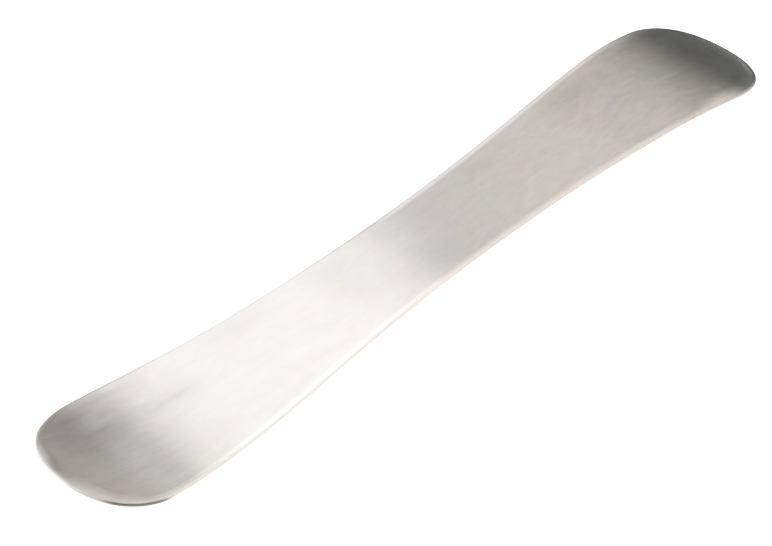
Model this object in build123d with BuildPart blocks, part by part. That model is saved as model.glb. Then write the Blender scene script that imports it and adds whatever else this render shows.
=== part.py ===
import math
import os

from build123d import *

os.makedirs("parts", exist_ok=True)

# A double-ended lab spatula: one strip of stainless steel, waisted in the
# middle and spread into a rounded blade at each end. The left end curls up and
# the right end curls down, so the strip is a long shallow S from the side.
# It lies as it comes to rest: on the bend at the root of the left blade and on
# the rim of the right tip. +X runs along the strip, +Z is up, and the origin is
# the middle of the footprint at the height of the table.

# ---- driving dimensions, mm ----
thickness = 0.8  # of the strip
rim_radius = 0.3  # rounding of both edges of the rim

waist_width = 17.5  # at the middle of the strip
blade_width = 24.5  # at the widest place of each blade
blade_at = 61.8  # from the middle to the widest place

# Bends of the strip, measured along it from the middle: flat up to *_flat, then
# a gentle arc up to *_gentle, then a tighter arc out to the tip.
half_length = 75.0  # along the strip, middle to tip
left_flat, left_gentle = 31.5, 60.0
left_gentle_radius, left_tip_radius = 166.0, 46.9
right_flat, right_gentle = 20.5, 45.2
right_gentle_radius, right_tip_radius = 498.0, 74.5

# Shape of the outline between its fixed points, as shares of each span.
waist_pull = 0.468
shoulder_pull = 0.240
tip_pull_long = 0.444
tip_pull_wide = 0.740

# ---- derived sizes ----
half_t = thickness / 2


def end_arc(flat, gentle, gentle_radius, tip_radius):
    """Angles of the two arcs of an end, the centre of its tighter arc and the
    reach of its tip, for an end that curls up, measured outwards from the
    middle of the strip."""
    gentle_angle = (gentle - flat) / gentle_radius
    tip_angle = (half_length - gentle) / tip_radius
    centre_out = flat + (gentle_radius - tip_radius) * math.sin(gentle_angle)
    centre_up = gentle_radius - (gentle_radius - tip_radius) * math.cos(gentle_angle)
    reach = centre_out + tip_radius * math.sin(gentle_angle + tip_angle)
    return gentle_angle, tip_angle, centre_out, centre_up, reach


left_a1, left_a2, left_out, left_up, left_reach = end_arc(
    left_flat, left_gentle, left_gentle_radius, left_tip_radius
)
right_a1, right_a2, right_out, right_up, right_reach = end_arc(
    right_flat, right_gentle, right_gentle_radius, right_tip_radius
)

# Centres of the outermost rounding of each rim at the middle of the tips, in
# the strip's own side view: the upper edge on the left, the lower one on the
# right.
left_rim = (
    -(left_reach - rim_radius),
    left_up
    - math.sqrt(
        (left_tip_radius - half_t + rim_radius) ** 2
        - (left_reach - rim_radius - left_out) ** 2
    ),
)
right_rim = (
    right_reach - rim_radius,
    -right_up
    + math.sqrt(
        (right_tip_radius - half_t + rim_radius) ** 2
        - (right_reach - rim_radius - right_out) ** 2
    ),
)

# The strip rests on two rounded things: the under side of the left gentle bend,
# which is part of a circle, and the rounded lower rim of the right tip. Their
# common tangent is the table, so it gives the tilt of the flat middle.
under_radius = left_gentle_radius + half_t
span_x = -left_flat - right_rim[0]
span_z = left_gentle_radius - right_rim[1]
rest_tilt = math.atan2(span_x, span_z) + math.acos(
    (under_radius - rim_radius) / math.hypot(span_x, span_z)
)
sin_t, cos_t = math.sin(rest_tilt), math.cos(rest_tilt)
rest_height = under_radius - (left_gentle_radius * cos_t - left_flat * sin_t)

# The footprint is centred on the origin.
left_end = left_rim[0] * cos_t - left_rim[1] * sin_t - rim_radius
right_end = right_rim[0] * cos_t - right_rim[1] * sin_t + rim_radius
middle_x = -(left_end + right_end) / 2

print("end angles", math.degrees(left_a1 + left_a2), math.degrees(right_a1 + right_a2))
print("rest tilt", math.degrees(rest_tilt), "left bend angle", math.degrees(left_a1))
print("middle of the strip", middle_x, rest_height)

# ---- planes of the strip as it lies ----
along = Vector(cos_t, 0, sin_t)
middle = Vector(middle_x, 0, rest_height)
side_plane = Plane(origin=middle, x_dir=along, z_dir=(0, -1, 0))
plan_plane = Plane(origin=middle, x_dir=along, z_dir=(-sin_t, 0, cos_t))

overrun = 0.06  # radians of extra strip past each tip, cut off by the outline

with BuildPart() as spatula:
    # side view of the bent sheet, going round it
    with BuildSketch(side_plane):
        with BuildLine():
            Line((-left_flat, half_t), (right_flat, half_t))
            # right end, upper and lower surface, curling down
            right_upper_a = JernArc(
                start=(right_flat, half_t),
                tangent=(1, 0),
                radius=right_gentle_radius + half_t,
                arc_size=-math.degrees(right_a1),
            )
            right_upper_b = JernArc(
                start=right_upper_a @ 1,
                tangent=right_upper_a % 1,
                radius=right_tip_radius + half_t,
                arc_size=-math.degrees(right_a2 + overrun),
            )
            right_lower_a = JernArc(
                start=(right_flat, -half_t),
                tangent=(1, 0),
                radius=right_gentle_radius - half_t,
                arc_size=-math.degrees(right_a1),
            )
            right_lower_b = JernArc(
                start=right_lower_a @ 1,
                tangent=right_lower_a % 1,
                radius=right_tip_radius - half_t,
                arc_size=-math.degrees(right_a2 + overrun),
            )
            Line(right_upper_b @ 1, right_lower_b @ 1)
            Line((-left_flat, -half_t), (right_flat, -half_t))
            # left end, lower and upper surface, curling up
            left_lower_a = JernArc(
                start=(-left_flat, -half_t),
                tangent=(-1, 0),
                radius=left_gentle_radius + half_t,
                arc_size=-math.degrees(left_a1),
            )
            left_lower_b = JernArc(
                start=left_lower_a @ 1,
                tangent=left_lower_a % 1,
                radius=left_tip_radius + half_t,
                arc_size=-math.degrees(left_a2 + overrun),
            )
            left_upper_a = JernArc(
                start=(-left_flat, half_t),
                tangent=(-1, 0),
                radius=left_gentle_radius - half_t,
                arc_size=-math.degrees(left_a1),
            )
            left_upper_b = JernArc(
                start=left_upper_a @ 1,
                tangent=left_upper_a % 1,
                radius=left_tip_radius - half_t,
                arc_size=-math.degrees(left_a2 + overrun),
            )
            Line(left_upper_b @ 1, left_lower_b @ 1)
        make_face()
    extrude(amount=blade_width, both=True)

    # outline seen square to the flat middle: half of it, mirrored lengthwise
    with BuildSketch(plan_plane.offset(-30)):
        with BuildLine():
            for side, reach in ((1, right_reach), (-1, left_reach)):
                Bezier(
                    (0, waist_width / 2),
                    (side * waist_pull * blade_at, waist_width / 2),
                    (side * (1 - shoulder_pull) * blade_at, blade_width / 2),
                    (side * blade_at, blade_width / 2),
                )
                Bezier(
                    (side * blade_at, blade_width / 2),
                    (
                        side * (blade_at + tip_pull_long * (reach - blade_at)),
                        blade_width / 2,
                    ),
                    (side * reach, tip_pull_wide * blade_width / 2),
                    (side * reach, 0),
                )
            mirror(about=Plane.XZ)
        make_face()
    extrude(amount=60, mode=Mode.INTERSECT)

    # both edges of the rim are rounded all the way round
    rim = spatula.edges().filter_by(GeomType.LINE, reverse=True)
    fillet(rim, radius=rim_radius)

box = spatula.part.bounding_box()
print("solids", len(spatula.part.solids()), "volume", spatula.part.volume)
print("box", box.min, box.max)

spatula.part.label = "spatula"
export_step(spatula.part, "parts/spatula.step")
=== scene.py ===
import math

import bpy
import numpy as np
from mathutils import Matrix, Vector
from mathutils.kdtree import KDTree


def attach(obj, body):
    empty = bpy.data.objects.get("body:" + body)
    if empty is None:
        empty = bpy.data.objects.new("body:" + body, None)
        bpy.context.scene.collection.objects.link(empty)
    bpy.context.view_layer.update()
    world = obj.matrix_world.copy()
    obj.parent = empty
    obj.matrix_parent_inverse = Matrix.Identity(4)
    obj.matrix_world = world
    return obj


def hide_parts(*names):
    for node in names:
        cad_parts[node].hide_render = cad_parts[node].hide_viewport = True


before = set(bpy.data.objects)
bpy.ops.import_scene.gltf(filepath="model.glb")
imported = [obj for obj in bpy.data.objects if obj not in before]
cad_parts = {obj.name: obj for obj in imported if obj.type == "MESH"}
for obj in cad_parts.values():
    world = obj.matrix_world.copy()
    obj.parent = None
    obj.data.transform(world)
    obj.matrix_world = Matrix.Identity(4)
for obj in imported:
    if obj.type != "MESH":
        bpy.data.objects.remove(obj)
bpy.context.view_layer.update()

MM = 0.001

# ---------------------------------------------------------------------------
# The strip, in its own side view: x along it, z square to its flat middle, mm.
# These are the sizes of the CAD model.
# ---------------------------------------------------------------------------
THICK = 0.8
HALF_T = THICK / 2
WAIST, BLADE, BLADE_AT = 17.5, 24.5, 61.8
HALF_LENGTH = 75.0
LEFT = (31.5, 60.0, 166.0, 46.9)  # flat to, gentle arc to, its radius, tip radius
RIGHT = (20.5, 45.2, 498.0, 74.5)
WAIST_PULL, SHOULDER_PULL = 0.468, 0.240
TIP_PULL_LONG, TIP_PULL_WIDE = 0.444, 0.740

CAD_RIM = 0.3  # rounding of the CAD rim, which sets how the strip lies
# Section of the rim, top to side: the face falls away by a small angle over a
# short width, then a round runs down to mid thickness. Each is (plain edge,
# worn edge); the edge towards -Y and the left tip are the more worn ones.
FALL_WIDTH = (0.35, 0.85)  # mm
FALL_ANGLE = (1.5, 4.5)  # degrees at the start of the round
TIP_WIDTH, TIP_ANGLE = 1.8, 8.7  # and so much more round the left tip
NOSE_ANGLE = 8.5  # with a steeper roll on the far side of its very end
SIDE_WIDTH, SIDE_ANGLE = 2.0, 3.5  # and beside the right blade, towards -Y


def end_line(u, spec):
    """Distance out, rise and slope at u mm along an end that curls up."""
    flat, gentle, r1, r2 = spec
    u = np.asarray(u, float)
    a1 = (gentle - flat) / r1
    v1 = np.clip(u - flat, 0, gentle - flat) / r1
    v2 = np.clip(u - gentle, 0, None) / r2
    out = np.minimum(u, flat) + r1 * np.sin(v1) + r2 * (np.sin(a1 + v2) - math.sin(a1))
    up = r1 * (1 - np.cos(v1)) + r2 * (math.cos(a1) - np.cos(a1 + v2))
    return out, up, v1 + v2


def strip_line(s):
    """x, z and slope of the middle surface at s mm from the middle."""
    s = np.asarray(s, float)
    lo, lu, la = end_line(np.clip(-s, 0, None), LEFT)
    ro, ru, ra = end_line(np.clip(s, 0, None), RIGHT)
    return np.where(s < 0, -lo, ro), np.where(s < 0, lu, -ru), np.where(s < 0, -la, -ra)


# The stretching of the metal eases one bend into the next, so the shading normals
# follow the slope averaged over a short length.
EASE = 18.0  # mm
_wide = np.linspace(-100.0, 100.0, 4001)
_hann = np.hanning(int(EASE / 0.05) + 2)
_eased = np.convolve(strip_line(_wide)[2], _hann / _hann.sum(), "same")


def eased_slope(s):
    return np.interp(s, _wide, _eased)


def rest_pose():
    """Tilt and place of the flat middle when the strip lies on its two contacts."""
    flat, gentle, r1, r2 = LEFT
    a1 = (gentle - flat) / r1
    l_out = flat + (r1 - r2) * math.sin(a1)
    l_up = r1 - (r1 - r2) * math.cos(a1)
    l_reach = l_out + r2 * math.sin(a1 + (HALF_LENGTH - gentle) / r2)
    l_rim = (
        -(l_reach - CAD_RIM),
        l_up - math.sqrt((r2 - HALF_T + CAD_RIM) ** 2 - (l_reach - CAD_RIM - l_out) ** 2),
    )
    flat_r, gentle_r, q1, q2 = RIGHT
    b1 = (gentle_r - flat_r) / q1
    r_out = flat_r + (q1 - q2) * math.sin(b1)
    r_up = q1 - (q1 - q2) * math.cos(b1)
    r_reach = r_out + q2 * math.sin(b1 + (HALF_LENGTH - gentle_r) / q2)
    r_rim = (
        r_reach - CAD_RIM,
        -r_up + math.sqrt((q2 - HALF_T + CAD_RIM) ** 2 - (r_reach - CAD_RIM - r_out) ** 2),
    )
    under = r1 + HALF_T
    sx, sz = -flat - r_rim[0], r1 - r_rim[1]
    tilt = math.atan2(sx, sz) + math.acos((under - CAD_RIM) / math.hypot(sx, sz))
    st, ct = math.sin(tilt), math.cos(tilt)
    height = under - (r1 * ct - flat * st)
    left_end = l_rim[0] * ct - l_rim[1] * st - CAD_RIM
    right_end = r_rim[0] * ct - r_rim[1] * st + CAD_RIM
    return tilt, -(left_end + right_end) / 2, height


TILT, MID_X, MID_Z = rest_pose()
CT, ST = math.cos(TILT), math.sin(TILT)


def to_world(x, y, z):
    """Strip coordinates in mm to the row frame in metres."""
    return np.stack([MID_X + x * CT - z * ST, y, MID_Z + x * ST + z * CT], -1) * MM


def turn(x, y, z):
    return np.stack([x * CT - z * ST, y, x * ST + z * CT], -1)


# ---------------------------------------------------------------------------
# The blade mesh: a grid of stations along the strip, with a polished rim
# ---------------------------------------------------------------------------
def bezier(points, t):
    p = [np.array(q, float) for q in points]
    t = t[:, None]
    return (
        (1 - t) ** 3 * p[0]
        + 3 * (1 - t) ** 2 * t * p[1]
        + 3 * (1 - t) * t**2 * p[2]
        + t**3 * p[3]
    )


def half_outline(reach, n_long, n_tip):
    """Outline from the waist to a tip, seen square to the flat middle."""
    w, b = WAIST / 2, BLADE / 2
    body = bezier(
        [(0, w), (WAIST_PULL * BLADE_AT, w), ((1 - SHOULDER_PULL) * BLADE_AT, b), (BLADE_AT, b)],
        np.linspace(0, 1, n_long),
    )
    tip = bezier(
        [
            (BLADE_AT, b),
            (BLADE_AT + TIP_PULL_LONG * (reach - BLADE_AT), b),
            (reach, TIP_PULL_WIDE * b),
            (reach, 0),
        ],
        np.linspace(0, 1, n_tip),
    )
    return np.vstack([body, tip[1:]])


def make_blade(name):
    s_fine = np.linspace(-HALF_LENGTH, HALF_LENGTH, 30001)
    x_fine, _, _ = strip_line(s_fine)
    trim = 0.06  # keeps the square-cut edge of a curled tip inside the CAD box
    right = half_outline(x_fine[-1] - trim, 96, 72)
    left = half_outline(-x_fine[0] - trim, 96, 72) * [-1, 1]
    line = np.vstack([left[::-1], right[1:]])  # left tip to right tip, y >= 0
    s = np.interp(line[:, 0], x_fine, s_fine)
    y = line[:, 1].copy()
    y[0] = y[-1] = 0.0
    n = len(s)
    # outward normal in the sheet
    ds, dy = np.gradient(s), np.gradient(y)
    ds[0] = ds[-1] = 0.0
    dy[0], dy[-1] = 1.0, -1.0
    length = np.hypot(ds, dy)
    ns, ny = -dy / length, ds / length
    wear, at_tip, tip_wide, at_nose, at_side = {}, {}, {}, {}, {}
    for half in (1, -1):
        w = np.clip(0.5 - 0.5 * half * ny - 0.35 * ns, 0, 1)
        wear[half] = w * w * (3 - 2 * w)
        # round the near side of the left tip, where the fall is wider
        not_far = np.clip((0.85 - half * ny) / 0.45, 0, 1)
        w = np.clip(-1.25 * ns - 0.25, 0, 1) * not_far
        at_tip[half] = w * w * (3 - 2 * w)
        # the width changes more slowly, which keeps the stations in order
        w = np.clip(-1.25 * ns - 0.25, 0, 1) * np.clip((1.0 - half * ny) / 0.9, 0, 1)
        tip_wide[half] = w * w * (3 - 2 * w)
        w = np.clip((-0.60 - ns) / 0.35, 0, 1) * not_far * np.clip(half * ny / 0.45, 0, 1)
        at_nose[half] = w * w * (3 - 2 * w)
        w = np.clip((s - 50.0) / 10.0, 0, 1) * np.clip(-1.2 * half * ny, 0, 1)
        at_side[half] = w * w * (3 - 2 * w)
    m = 44  # columns across each face
    k_fall, k_round = 7, 9

    def section(i, half):
        """Rim section at station i: place out from the outline, height off the
        middle of the sheet, and normal, from the top face round to the under one."""
        worn, tip, side = wear[half][i], at_tip[half][i], at_side[half][i]
        width = FALL_WIDTH[0] + worn * (FALL_WIDTH[1] - FALL_WIDTH[0])
        width += TIP_WIDTH * tip_wide[half][i] + SIDE_WIDTH * side
        fall = FALL_ANGLE[0] + worn * (FALL_ANGLE[1] - FALL_ANGLE[0])
        fall += TIP_ANGLE * tip + NOSE_ANGLE * at_nose[half][i] + SIDE_ANGLE * side
        fall = math.radians(fall)
        u = np.linspace(0, 1, k_fall + 1)
        # the metal falls less than its shading does, so the rim keeps most of
        # its thickness
        sink = 0.2 * math.tanh(0.6 * width * fall / 2 / 0.2)
        x1, z1, a1 = width * u, -sink * u * u, fall * u
        radius = (HALF_T + z1[-1]) / math.cos(fall)
        a2 = np.linspace(fall, math.pi / 2, k_round + 1)[1:]
        x2 = x1[-1] + radius * (np.sin(a2) - math.sin(fall))
        z2 = z1[-1] - radius * (math.cos(fall) - np.cos(a2))
        x, z, a = np.r_[x1, x2], HALF_T + np.r_[z1, z2], np.r_[a1, a2]
        x = x - x[-1]
        return (
            np.r_[x, x[-2::-1]],
            np.r_[z, -z[-2::-1]],
            np.r_[np.sin(a), np.sin(a[-2::-1])],
            np.r_[np.cos(a), -np.cos(a[-2::-1])],
        )

    sections = {half: [section(i, half) for i in range(n)] for half in (1, -1)}
    k_rim = 2 * (k_fall + k_round)

    co, nor, strip = [], [], []

    def add(sv, yv, hv, n_s, n_y, n_h):
        """Vertices at (s, y) in the sheet and h off its middle, with normals."""
        x, z, a = strip_line(sv)
        ca, sa = np.cos(a), np.sin(a)
        place = to_world(x - sa * hv, yv, z + ca * hv)
        a = eased_slope(sv)
        ca, sa = np.cos(a), np.sin(a)
        normal = turn(n_s * ca - n_h * sa, n_y, n_s * sa + n_h * ca)
        first = sum(len(q) for q in co)
        co.append(place)
        nor.append(normal)
        strip.append(np.stack([sv, yv, hv], -1))
        return np.arange(first, first + len(sv))

    inset = {half: np.array([-sections[half][i][0][0] for i in range(n)]) for half in (1, -1)}
    s_in = {half: s - ns * inset[half] for half in (1, -1)}
    y_in = {half: y - ny * inset[half] for half in (1, -1)}
    across = np.linspace(0, 1, m + 1)
    across = 0.55 * (0.5 - 0.5 * np.cos(math.pi * across)) + 0.45 * across
    faces = []
    sides = {}
    for sign in (1, -1):
        grid = []
        for i in range(n):
            if i in (0, n - 1):
                at, yv = s_in[1][i : i + 1], np.zeros(1)
            else:
                at = s_in[1][i] + (s_in[-1][i] - s_in[1][i]) * across
                yv = y_in[1][i] - (y_in[1][i] + y_in[-1][i]) * across
            zero, up = np.zeros(len(at)), np.full(len(at), float(sign))
            v = add(at, yv, sign * HALF_T + zero, zero, zero, up)
            grid.append(v if len(v) > 1 else np.repeat(v, m + 1))
        sides[sign] = grid
        for i in range(n - 1):
            for j in range(m):
                q = [grid[i][j], grid[i + 1][j], grid[i + 1][j + 1], grid[i][j + 1]]
                q = [v for k, v in enumerate(q) if v != q[k - 1]]
                if len(q) >= 3:
                    faces.append(q)
    # rim: the upper half of the outline left to right, then the lower half back
    ring = [(i, 1) for i in range(n)] + [(i, -1) for i in range(n - 2, 0, -1)]
    columns = []
    for i, half in ring:
        j = 0 if half > 0 else m
        out, high, n_out, n_up = (q[1:-1] for q in sections[half][i])
        mid = add(
            s[i] + ns[i] * out,
            half * (y[i] + ny[i] * out),
            high,
            ns[i] * n_out,
            half * ny[i] * n_out,
            n_up,
        )
        columns.append([sides[1][i][j], *mid, sides[-1][i][j]])
    for a, b in zip(columns, columns[1:] + columns[:1]):
        for k in range(k_rim):
            faces.append([a[k], b[k], b[k + 1], a[k + 1]])
    co, nor, strip = np.vstack(co), np.vstack(nor), np.vstack(strip)
    outward = []
    for f in faces:
        f = [int(v) for v in f]
        p = co[f]
        facing = np.cross(p[2] - p[0], p[-1] - p[1]) if len(f) == 4 else np.cross(p[1] - p[0], p[2] - p[0])
        outward.append(f if facing @ nor[f].sum(0) >= 0 else f[::-1])
    mesh = bpy.data.meshes.new(name)
    mesh.from_pydata(co.tolist(), [], outward)
    mesh.validate()
    mesh.shade_smooth()
    nor /= np.linalg.norm(nor, axis=1)[:, None]
    mesh.normals_split_custom_set_from_vertices(nor.tolist())
    layer = mesh.attributes.new("strip_mm", "FLOAT_VECTOR", "POINT")
    layer.data.foreach_set("vector", strip.astype(np.float32).ravel())
    # how far in from the outline, how worn the nearest edge is, and how far it
    # faces along the strip
    around = np.vstack([np.stack([s, y], -1), np.stack([s, -y], -1)])
    worn_there = np.r_[wear[1], wear[-1]]
    faces_along = np.r_[ns, ns]
    tree = KDTree(len(around))
    for k, (u, v) in enumerate(around):
        tree.insert((u, v, 0.0), k)
    tree.balance()
    edge = np.zeros((len(strip), 3), np.float32)
    for k, (u, v, _) in enumerate(strip):
        _, near, gap = tree.find((u, v, 0.0))
        edge[k] = (min(gap, 6.0), worn_there[near], faces_along[near])
    layer = mesh.attributes.new("edge_mm", "FLOAT_VECTOR", "POINT")
    layer.data.foreach_set("vector", edge.ravel())
    uv = mesh.uv_layers.new(name="strip")
    corner = np.zeros(len(mesh.loops), np.int32)
    mesh.loops.foreach_get("vertex_index", corner)
    flat_uv = np.stack(
        [
            0.5 + strip[corner, 0] / 170,
            np.where(strip[corner, 2] >= 0, 0.75, 0.25) + strip[corner, 1] / 60,
        ],
        -1,
    )
    uv.data.foreach_set("uv", flat_uv.astype(np.float32).ravel())
    obj = bpy.data.objects.new(name, mesh)
    bpy.context.scene.collection.objects.link(obj)
    return obj


# ---------------------------------------------------------------------------
# Node helpers
# ---------------------------------------------------------------------------
class Nodes:
    def __init__(self, tree):
        self.tree = tree
        tree.nodes.clear()

    def add(self, kind, inputs=None, **props):
        node = self.tree.nodes.new(kind)
        for key, value in props.items():
            setattr(node, key, value)
        for key, value in (inputs or {}).items():
            socket = node.inputs[key]
            if isinstance(value, bpy.types.NodeSocket):
                self.tree.links.new(value, socket)
            else:
                socket.default_value = value
        return node

    def math(self, op, a, b=0.0, c=None, clamp=False):
        node = self.add("ShaderNodeMath", {0: a, 1: b}, operation=op, use_clamp=clamp)
        if c is not None:
            if isinstance(c, bpy.types.NodeSocket):
                self.tree.links.new(c, node.inputs[2])
            else:
                node.inputs[2].default_value = c
        return node.outputs[0]

    def ramp(self, fac, stops, mode="LINEAR"):
        node = self.add("ShaderNodeValToRGB", {"Fac": fac})
        ramp = node.color_ramp
        ramp.interpolation = mode
        while len(ramp.elements) > 1:
            ramp.elements.remove(ramp.elements[-1])
        first = True
        for at, col in stops:
            col = (col, col, col, 1.0) if not hasattr(col, "__len__") else (*col, 1.0)
            if first:
                el = ramp.elements[0]
                el.position = at
                first = False
            else:
                el = ramp.elements.new(at)
            el.color = col
        return node.outputs["Color"]


# ---------------------------------------------------------------------------
# Brushed stainless steel
# ---------------------------------------------------------------------------
MARKS = [  # soft darker and lighter patches: s, y, half length, half width in mm, tone
    (-62.0, 3.2, 4.5, 3.0, -0.10),
    (-58.0, -5.0, 3.5, 3.0, -0.05),
    (-49.0, 3.0, 5.0, 2.2, -0.06),
    (-34.0, 8.0, 7.0, 3.0, -0.06),
    (-16.0, 3.5, 4.5, 5.5, -0.08),
    (-7.5, -7.0, 3.5, 2.2, 0.09),
    (-1.5, -3.5, 3.5, 2.5, -0.05),
    (45.0, 5.5, 6.0, 2.6, -0.06),
    (66.0, 1.0, 6.5, 5.5, -0.11),
    (60.4, -8.3, 2.4, 1.2, 0.14),
    (67.0, -8.0, 3.0, 1.0, -0.10),
    (57.0, -1.1, 4.6, 0.45, 0.07),
    (57.0, -2.2, 4.6, 0.8, -0.03),
    (-62.8, 4.5, 2.2, 0.55, -0.14),
    (-61.6, 5.8, 3.0, 0.8, 0.07),
    (-65.0, 8.8, 2.6, 0.6, -0.11),
    (-49.2, 3.1, 2.2, 0.7, -0.07),
    (-53.8, 3.0, 3.2, 0.8, -0.05),
    (-54.5, 5.5, 3.0, 0.9, 0.05),
    (38.5, 6.8, 4.5, 2.4, -0.06),
    (15.5, 5.5, 4.0, 2.6, -0.05),
    (47.5, -7.5, 4.0, 2.2, 0.05),
    (-64.5, -4.5, 3.5, 2.5, 0.05),
]


def steel_material():
    mat = bpy.data.materials.new("brushed_steel")
    mat.use_nodes = True
    t = Nodes(mat.node_tree)
    place = t.add("ShaderNodeAttribute", attribute_type="GEOMETRY", attribute_name="strip_mm").outputs["Vector"]
    rim = t.add("ShaderNodeAttribute", attribute_type="GEOMETRY", attribute_name="edge_mm").outputs["Vector"]
    along, over, height = t.add("ShaderNodeSeparateXYZ", {0: place}).outputs[:3]
    inwards, worn, facing = t.add("ShaderNodeSeparateXYZ", {0: rim}).outputs[:3]

    # hand polishing: the brushing wanders a little off the length of the strip
    drift = t.add(
        "ShaderNodeTexNoise", {"Vector": place, "Scale": 0.045, "Detail": 1.0}, noise_dimensions="3D"
    ).outputs["Fac"]
    drift = t.math("MULTIPLY_ADD", drift, 4.0, -2.0)
    wandering = t.add(
        "ShaderNodeVectorMath",
        {0: place, 1: t.add("ShaderNodeCombineXYZ", {"Y": drift}).outputs[0]},
        operation="ADD",
    ).outputs[0]

    def stretched(scale, detail, rough, offset=(0, 0, 0)):
        m = t.add(
            "ShaderNodeMapping",
            {"Vector": wandering, "Scale": scale, "Location": offset},
            vector_type="POINT",
        )
        fac = t.add(
            "ShaderNodeTexNoise",
            {"Vector": m.outputs[0], "Scale": 1.0, "Detail": detail, "Roughness": rough},
            noise_dimensions="3D",
        ).outputs["Fac"]
        return t.math("SUBTRACT", fac, 0.5)

    def step(value, low, high, a=0.0, b=1.0):
        return t.add(
            "ShaderNodeMapRange",
            {"Value": value, "From Min": low, "From Max": high, "To Min": a, "To Max": b},
            interpolation_type="SMOOTHSTEP",
        ).outputs[0]

    grain = stretched((0.30, 4.6, 1.0), 4.0, 0.62)  # fine lengthwise brushing
    streak = stretched((0.10, 0.75, 0.5), 4.0, 0.6, (7.3, 2.1, 0.0))  # broader streaks
    mottle = stretched((0.20, 0.42, 0.3), 3.0, 0.55, (1.7, 5.2, 2.4))  # uneven polish
    cloud = stretched((0.045, 0.085, 0.2), 2.0, 0.5, (3.7, 9.2, 1.4))  # handling
    fleck = stretched((0.42, 0.90, 0.6), 3.0, 0.6, (5.7, 1.2, 8.4))  # short scuffs
    warm = stretched((0.12, 0.25, 0.2), 3.0, 0.6, (11.7, 4.2, 3.4))
    green = stretched((0.10, 0.20, 0.2), 3.0, 0.6, (21.7, 14.2, 1.4))

    # the left blade is the more streaked one, and the part beside it the most rubbed
    left_end, right_half = step(along, -46.0, -60.0), step(along, -16.0, 6.0)
    right_end = step(along, 20.0, 50.0)
    used = t.math("MULTIPLY_ADD", left_end, 0.05, 0.035)
    kept = t.math("MULTIPLY_ADD", right_half, 0.06, t.math("MULTIPLY_ADD", left_end, 0.05, 0.018))
    tone = t.math("MULTIPLY_ADD", grain, kept, 1.0)
    tone = t.math("MULTIPLY_ADD", streak, used, tone)
    uneven = t.math("MULTIPLY_ADD", right_end, 0.09, t.math("MULTIPLY_ADD", left_end, 0.09, 0.085))
    tone = t.math("MULTIPLY_ADD", mottle, uneven, tone)
    scuffs = t.math("MULTIPLY_ADD", right_half, 0.08, t.math("MULTIPLY_ADD", left_end, 0.06, 0.055))
    scuffs = t.math("MULTIPLY_ADD", right_end, 0.11, scuffs)
    tone = t.math("MULTIPLY_ADD", fleck, scuffs, tone)
    tone = t.math("MULTIPLY_ADD", cloud, 0.06, tone)
    for s0, y0, rs, ry, dip in MARKS:
        a = t.math("DIVIDE", t.math("SUBTRACT", along, s0), rs)
        b = t.math("DIVIDE", t.math("SUBTRACT", over, y0), ry)
        far = t.math("MULTIPLY_ADD", a, a, t.math("MULTIPLY", b, b))
        spot = t.math("EXPONENT", t.math("MULTIPLY", far, -1.0))
        spot = t.math("MULTIPLY", spot, t.math("MULTIPLY_ADD", mottle, 1.6, 1.0))
        tone = t.math("MULTIPLY_ADD", spot, dip, tone)

    def product(*masks):
        out = masks[0]
        for mask in masks[1:]:
            out = t.math("MULTIPLY", out, mask)
        return out

    near, far = step(over, -1.0, -5.0), step(over, 1.0, 5.0)
    rounded = step(height, 0.39, 0.33)  # the rounded edge itself
    # painted highlight: a light band along the far edge
    far_painted_highlight = product(step(inwards, 1.40, 0.75), far, step(along, -6.0, 2.0), step(along, 70.0, 64.0))
    # Amounts fitted to the tones of the rims in the photo. They paint the light and shade that the rims catch
    # into the base colour:
    # painted highlights and painted shade, not a known difference of finish.
    painted_light_bands = [  # amount, where
        # painted shade on the side of the near rim, darkest under the left tip, standing in for the shaded
        # floor it reflects
        (-0.72, product(step(height, 0.34, 0.16), near, step(along, -62.0, -65.5), step(along, -73.5, -71.0))),
        (-0.14, product(step(height, 0.32, 0.10), near)),
        # painted shade on the rounded far edge, and a painted highlight just inside the far edge of the left
        # blade
        (-0.62, product(rounded, step(over, 8.0, 10.0), step(along, -54.0, -58.0))),
        (0.17, product(step(inwards, 2.4, 0.8), step(inwards, 0.3, 0.6), far, step(along, -52.0, -57.0), step(along, -69.0, -62.0))),
        (-0.12, product(rounded, far, step(along, 20.0, 34.0))),
        # painted highlights along the far edge and the near one, standing in for the light the rims reflect
        (0.35, far_painted_highlight),
        (0.04, product(step(inwards, 4.0, 1.5), far, step(along, 0.0, 6.0), step(along, 66.0, 60.0))),
        (0.05, product(step(inwards, 1.8, 0.9), near, step(along, 4.0, -8.0), step(along, -62.0, -56.0))),
        (0.22, product(rounded, near, step(along, 6.0, -12.0), step(along, -67.0, -61.0))),
        (0.12, product(step(inwards, 1.30, 0.85), near, step(along, -67.0, -61.0), step(along, 72.0, 68.0))),
        (0.12, product(rounded, near, step(along, -12.0, 2.0), step(along, 60.0, 30.0))),
        # painted highlights towards both edges of the right blade, and painted shade round its tip
        (0.30, product(step(inwards, 3.4, 1.0), near, step(along, 50.0, 60.0), step(inwards, 0.2, 0.9))),
        (0.18, product(step(inwards, 3.0, 1.0), far, step(along, 52.0, 58.0), step(along, 68.0, 64.0))),
        (-0.42, product(step(inwards, 1.3, 0.2), step(facing, 0.25, 0.75), step(along, 58.0, 66.0))),
    ]
    for amount, where in painted_light_bands:
        tone = t.math("MULTIPLY", tone, t.math("MULTIPLY_ADD", where, amount, 1.0))
    tone = t.math("MINIMUM", tone, 1.42)  # keeps the base colour below 0.9

    # finish: fine satin, matt at the worn edges
    matt = t.math("MULTIPLY", worn, step(inwards, 0.75, 0.25, 0.0, 0.85))

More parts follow.
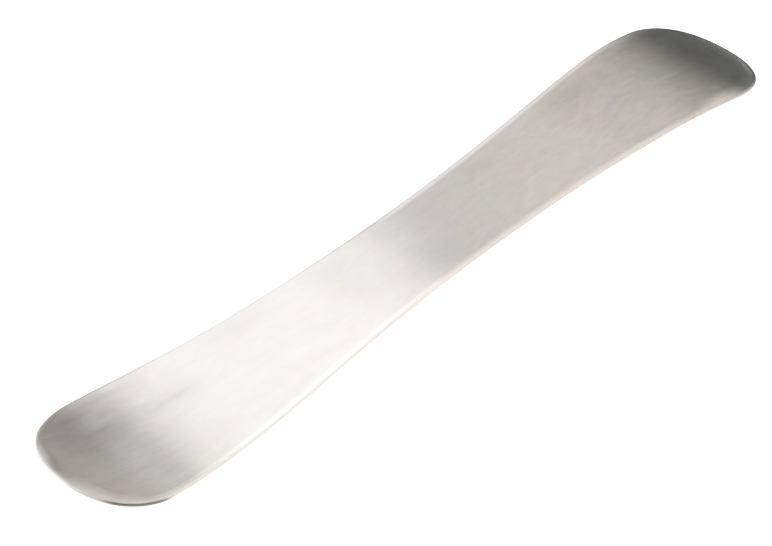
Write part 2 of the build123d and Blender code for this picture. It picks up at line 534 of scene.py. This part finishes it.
    # the faint colours of heat and handling, a little stronger on the right blade
    warm = t.math("MULTIPLY", warm, t.math("MULTIPLY_ADD", right_end, 0.045, 0.045))
    # the painted highlight along the far edge is a little cooler in hue
    hue = t.add("ShaderNodeCombineXYZ", {
        "X": t.math("MULTIPLY_ADD", far_painted_highlight, -0.010, t.math("ADD", warm, 0.655)),
        "Y": t.math("MULTIPLY_ADD", green, 0.065, 0.622),
        "Z": t.math("MULTIPLY_ADD", far_painted_highlight, 0.018, t.math("SUBTRACT", 0.602, warm)),
    }).outputs[0]
    colour = t.add("ShaderNodeVectorMath", {0: hue}, operation="SCALE")
    t.tree.links.new(tone, colour.inputs["Scale"])

    rough = t.math("MULTIPLY_ADD", streak, 0.04, 0.13)
    rough = t.math("MULTIPLY_ADD", cloud, 0.04, rough)
    rough = t.math("MULTIPLY_ADD", matt, 0.30, rough)

    wobble = t.math("MULTIPLY", cloud, 0.12)
    across = t.add("ShaderNodeCombineXYZ", {"X": wobble, "Y": 1.0, "Z": 0.0}).outputs[0]

    bump = t.add("ShaderNodeBump", {"Strength": 0.06, "Distance": 0.00004, "Height": grain})
    bsdf = t.add(
        "ShaderNodeBsdfPrincipled",
        {
            "Base Color": colour.outputs[0],
            "Metallic": 1.0,
            "Roughness": rough,
            "Anisotropic": 0.4,
            "Tangent": across,
            "Normal": bump.outputs[0],
        },
    )
    out = t.add("ShaderNodeOutputMaterial")
    t.tree.links.new(bsdf.outputs[0], out.inputs["Surface"])
    return mat


# ---------------------------------------------------------------------------
# Stage: floor, soft panels and the surroundings
# ---------------------------------------------------------------------------
def plane(name, centre, u, v, u_range, v_range):
    """A flat panel whose local x runs along u and y along v, from its centre."""
    u, v = Vector(u).normalized(), Vector(v).normalized()
    w = u.cross(v)
    mesh = bpy.data.meshes.new(name)
    (u0, u1), (v0, v1) = u_range, v_range
    mesh.from_pydata([(u0, v0, 0), (u1, v0, 0), (u1, v1, 0), (u0, v1, 0)], [], [(0, 1, 2, 3)])
    obj = bpy.data.objects.new(name, mesh)
    bpy.context.scene.collection.objects.link(obj)
    obj.matrix_world = Matrix.Translation(Vector(centre)) @ Matrix((u, v, w)).transposed().to_4x4()
    return obj


def floor_material():
    mat = bpy.data.materials.new("pale_floor")
    mat.use_nodes = True
    t = Nodes(mat.node_tree)
    where = t.add("ShaderNodeTexCoord").outputs["Object"]
    fine = t.add("ShaderNodeTexNoise", {"Vector": where, "Scale": 40.0, "Detail": 3.0}).outputs["Fac"]
    tone = t.ramp(fine, [(0.3, (0.895, 0.893, 0.889)), (0.7, (0.905, 0.904, 0.901))])
    bsdf = t.add(
        "ShaderNodeBsdfPrincipled",
        {
            "Base Color": tone,
            "Roughness": 0.9,
            "Specular IOR Level": 0.0,
            "Emission Color": (1.0, 0.995, 0.985, 1.0),
            "Emission Strength": 0.62,
        },
    )
    out = t.add("ShaderNodeOutputMaterial")
    t.tree.links.new(bsdf.outputs[0], out.inputs["Surface"])
    return mat


# The big soft panel: a leaning sheet of light over the far side of the strip and
# above it. X runs along the strip, T up the sheet, both in metres from the point
# of the sheet that is nearest the origin. It is bright on the left, grey on the
# right, and falls off to dark low down on the right.
PANEL_LEAN, PANEL_OUT = 45.0, 0.30
BRIGHT = 1.49
BRIGHT_EDGE, BRIGHT_SLANT, BRIGHT_BELOW, BRIGHT_SOFT = 0.1337, 0.6056, 0.048, 0.016
GREY_HIGH, GREY_LOW, GREY_RISE = 0.857, 0.719, 0.60
GREY_AT, GREY_SOFT, GREY_SLANT = 0.0211, 0.020, -1.02
DARK, DARK_AT, DARK_SOFT, DARK_TURN, DARK_CURVE = 0.181, 0.2505, 0.1703, 0.921, -2.82
SPOT, SPOT_X, SPOT_T, SPOT_RX, SPOT_RT, SPOT_TURN = 0.542, 0.2098, -0.0477, 0.0914, 0.030, -0.5775
TOP, TOP_FROM, TOP_TO = 1.36, 0.085, 0.16


def panel_material():
    mat = bpy.data.materials.new("soft_panel")
    mat.use_nodes = True
    t = Nodes(mat.node_tree)
    xyz = t.add("ShaderNodeSeparateXYZ", {0: t.add("ShaderNodeTexCoord").outputs["Object"]})
    x, up = xyz.outputs["X"], xyz.outputs["Y"]

    def step(value, low, high, a=0.0, b=1.0):
        return t.add(
            "ShaderNodeMapRange",
            {"Value": value, "From Min": low, "From Max": high, "To Min": a, "To Max": b},
            interpolation_type="SMOOTHSTEP",
        ).outputs[0]

    def turned(x0, up0, angle):
        """Coordinates about a point, turned by an angle."""
        a, b = t.math("SUBTRACT", x, x0), t.math("SUBTRACT", up, up0)
        c, d = math.cos(angle), math.sin(angle)
        return (
            t.math("MULTIPLY_ADD", a, c, t.math("MULTIPLY", b, d)),
            t.math("MULTIPLY_ADD", b, c, t.math("MULTIPLY", a, -d)),
        )

    low_part = t.math("MINIMUM", t.math("SUBTRACT", up, BRIGHT_BELOW), 0.0)
    edge = t.math("SUBTRACT", x, t.math("MULTIPLY", low_part, BRIGHT_SLANT))
    bright = step(edge, BRIGHT_EDGE - BRIGHT_SOFT, BRIGHT_EDGE + BRIGHT_SOFT, 1.0, 0.0)

    slanted = t.math("MULTIPLY_ADD", t.math("SUBTRACT", x, 0.2), GREY_SLANT, up)
    grey = step(slanted, GREY_AT - GREY_SOFT, GREY_AT + GREY_SOFT, GREY_LOW, GREY_HIGH)
    past = t.math("MINIMUM", t.math("MAXIMUM", t.math("SUBTRACT", x, 0.15), 0.0), 0.5)
    grey = t.math("MULTIPLY", grey, t.math("MULTIPLY_ADD", past, GREY_RISE, 1.0))
    out_to, along = turned(0.0, 0.0, -DARK_TURN)
    bend = t.math("MINIMUM", t.math("SUBTRACT", along, 0.3), 0.12)
    out_to = t.math("MULTIPLY_ADD", t.math("MULTIPLY", bend, bend), DARK_CURVE, out_to)
    grey = t.math("MULTIPLY", grey, step(out_to, DARK_AT - DARK_SOFT, DARK_AT + DARK_SOFT, 1.0, DARK))
    a, b = turned(SPOT_X, SPOT_T, SPOT_TURN)
    a, b = t.math("DIVIDE", a, SPOT_RX), t.math("DIVIDE", b, SPOT_RT)
    far = t.math("MULTIPLY_ADD", a, a, t.math("MULTIPLY", b, b))
    spot = t.math("EXPONENT", t.math("MULTIPLY", far, -1.0))
    grey = t.math("MULTIPLY", grey, t.math("MULTIPLY_ADD", spot, -SPOT, 1.0))
    high = step(up, TOP_FROM, TOP_TO)

    def blend(fac, a, b):
        node = t.tree.nodes.new("ShaderNodeMix")
        node.data_type = "RGBA"
        for socket, value in ((node.inputs[0], fac), (node.inputs[6], a), (node.inputs[7], b)):
            if isinstance(value, bpy.types.NodeSocket):
                t.tree.links.new(value, socket)
            else:
                socket.default_value = (*(v / 2 for v in value), 1)
        return node.outputs[2]

    hue = t.ramp(
        x,
        [
            (0.14, (0.503, 0.500, 0.499)),
            (0.30, (0.513, 0.500, 0.483)),
            (0.42, (0.506, 0.500, 0.470)),
            (0.62, (0.482, 0.500, 0.482)),
        ],
    )
    tint = t.add("ShaderNodeVectorMath", {0: hue}, operation="SCALE")
    t.tree.links.new(grey, tint.inputs["Scale"])
    light = blend(high, tint.outputs[0], (TOP, TOP * 0.975, TOP * 0.90))
    # straight overhead it is a softer grey, so the strip reads as metal from above
    softer = t.ramp(
        t.math("ADD", x, 0.2),
        [
            (0.0, (0.400, 0.396, 0.388)),
            (0.15, (0.470, 0.464, 0.452)),
            (0.30, (0.360, 0.357, 0.350)),
            (0.55, (0.275, 0.273, 0.268)),
            (1.0, (0.420, 0.415, 0.405)),
        ],
        "EASE",
    )
    light = blend(t.math("MULTIPLY", step(up, 0.19, 0.25), step(up, 0.47, 0.38)), light, softer)
    bright = t.math("MULTIPLY", bright, step(up, 0.24, 0.18))
    light = blend(bright, light, (BRIGHT * 0.985, BRIGHT, BRIGHT * 1.015))
    emit = t.add("ShaderNodeEmission", {"Color": light, "Strength": 2.0})
    out = t.add("ShaderNodeOutputMaterial")
    t.tree.links.new(emit.outputs[0], out.inputs["Surface"])
    return mat


def build_stage():
    floor = plane("floor", (0, 0, 0), (1, 0, 0), (0, 1, 0), (-3, 3), (-3, 3))
    floor.data.materials.append(floor_material())
    lean = math.radians(PANEL_LEAN)
    toward = Vector((0, math.cos(lean), math.sin(lean)))
    panel = plane(
        "soft_panel",
        toward * PANEL_OUT,
        (1, 0, 0),
        (0, -math.sin(lean), math.cos(lean)),
        (-0.9, 2.6),
        (-0.285, 0.62),
    )
    panel.data.materials.append(panel_material())
    panel.visible_camera = False

    # a dim flat card past the right tip, seen only in the steel
    card = plane("dim_card", (0, 0, 0.0004), (1, 0, 0), (0, 1, 0), (0.0752, 1.3), (-0.02, 0.75))
    dim = bpy.data.materials.new("dim_card")
    dim.use_nodes = True
    n = Nodes(dim.node_tree)
    where = n.add("ShaderNodeSeparateXYZ", {0: n.add("ShaderNodeTexCoord").outputs["Object"]})
    shade = n.ramp(where.outputs["X"], [(0.1, (0.15, 0.15, 0.147)), (1.0, (0.12, 0.12, 0.118))])
    glow = n.add("ShaderNodeEmission", {"Color": shade, "Strength": 1.0})
    last = n.add("ShaderNodeOutputMaterial")
    n.tree.links.new(glow.outputs[0], last.inputs["Surface"])
    card.data.materials.append(dim)
    card.visible_camera = card.visible_diffuse = card.visible_shadow = False

    # a wide soft light that only whitens the floor
    lamp = bpy.data.lights.new("floor_wash", "AREA")
    lamp.shape = "DISK"
    lamp.size = 0.9
    lamp.energy = 9.0
    lamp.color = (1.0, 0.99, 0.97)
    wash = bpy.data.objects.new("floor_wash", lamp)
    bpy.context.scene.collection.objects.link(wash)
    wash.location = (-0.25, -0.35, 0.95)
    wash.rotation_euler = Vector((0.25, 0.35, -0.95)).to_track_quat("-Z", "Y").to_euler()
    wash.visible_glossy = False
    wash.visible_camera = False

    world = bpy.data.worlds.new("surroundings")
    bpy.context.scene.world = world
    world.use_nodes = True
    t = Nodes(world.node_tree)
    way = t.add("ShaderNodeSeparateXYZ", {0: t.add("ShaderNodeTexCoord").outputs["Generated"]})
    tone = t.ramp(
        way.outputs["Z"],
        [
            (0.0, (0.86, 0.838, 0.80)),
            (0.09, (0.80, 0.782, 0.75)),
            (0.20, (0.43, 0.425, 0.415)),
            (0.50, (0.52, 0.515, 0.505)),
            (0.70, (0.98, 0.96, 0.92)),
            (1.0, (1.0, 0.985, 0.955)),
        ],
    )
    back = t.add("ShaderNodeBackground", {"Color": tone, "Strength": 1.18})
    out = t.add("ShaderNodeOutputWorld")
    t.tree.links.new(back.outputs[0], out.inputs["Surface"])


def build_camera():
    data = bpy.data.cameras.new("camera")
    cam = bpy.data.objects.new("camera", data)
    bpy.context.scene.collection.objects.link(cam)
    data.sensor_fit = "HORIZONTAL"
    data.sensor_width = 36.0
    data.lens = 2190.0 / 772 * 36.0
    data.clip_start, data.clip_end = 0.01, 20.0
    right = Vector((0.71582254, -0.69825041, 0.00666759))
    up = Vector((0.4761638, 0.49508659, 0.72674431))
    back = Vector((-0.51075055, -0.51704509, 0.68687571))
    where = Vector((-183.66 + MID_X, -176.26, 232.76 + MID_Z)) * MM
    cam.matrix_world = Matrix.Translation(where) @ Matrix((right, up, back)).transposed().to_4x4()
    bpy.context.scene.camera = cam
    return cam


scene = bpy.context.scene
scene.view_settings.view_transform = "Standard"
scene.view_settings.look = "None"
scene.view_settings.exposure = 0.0
scene.view_settings.gamma = 1.0

build_camera()
build_stage()
blade = make_blade("spatula_blade")
blade.data.materials.append(steel_material())
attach(blade, "root")
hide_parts("spatula")
